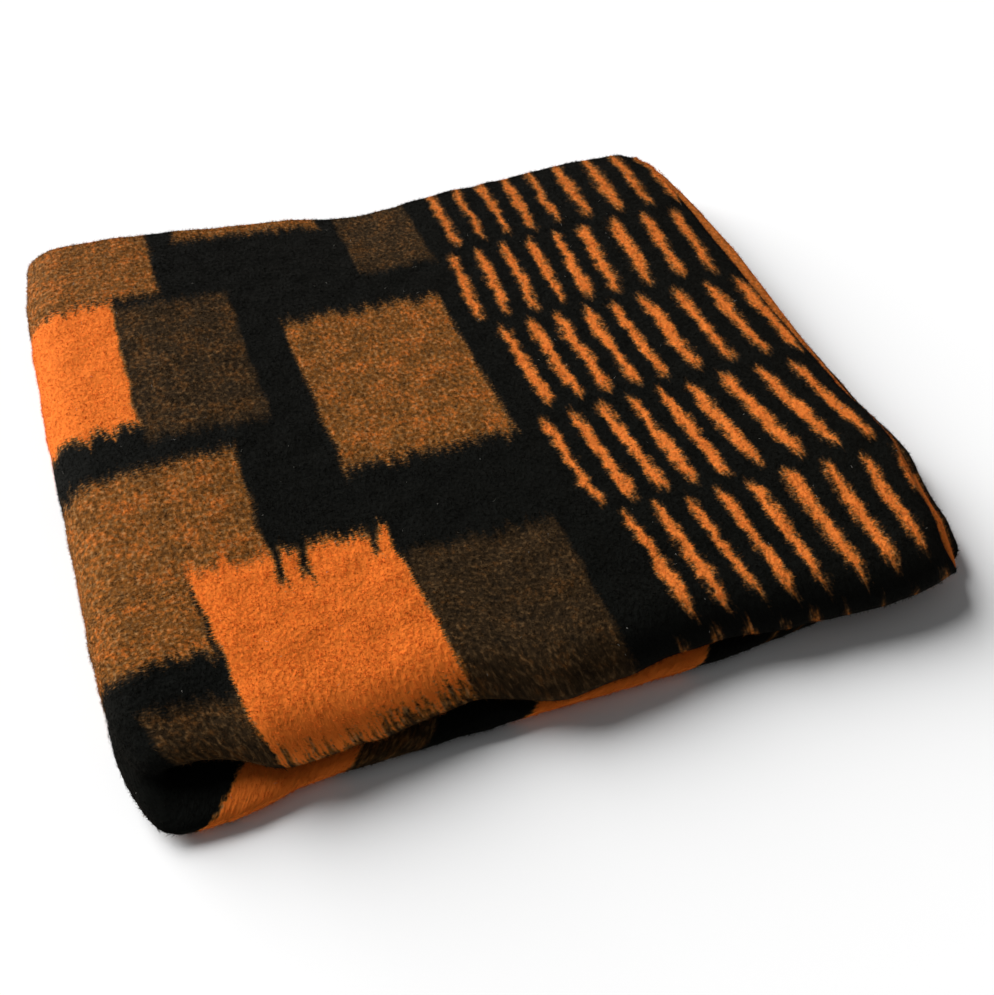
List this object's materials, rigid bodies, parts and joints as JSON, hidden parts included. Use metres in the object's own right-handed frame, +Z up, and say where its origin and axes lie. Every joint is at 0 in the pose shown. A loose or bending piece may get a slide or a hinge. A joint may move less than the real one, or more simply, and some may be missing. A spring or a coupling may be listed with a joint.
{
  "type": "folded patterned wool blanket",
  "caption": "Thick fulled wool blanket folded into a soft square pack, with a round roll at the front, its last fold at the left and layered hems at the right.",
  "frame": {"origin": "middle of the pack's footprint, on the surface that it rests on", "axes": "+Z up through the layers, +X from the last fold to the hems, +Y from the front roll to the back"},
  "size_m": [0.5626, 0.483, 0.0464],
  "materials": {
    "wool": "matte raised nap"
  },
  "bodies": {
    "root": {"blanket": "wool"}
  },
  "joints": []
}
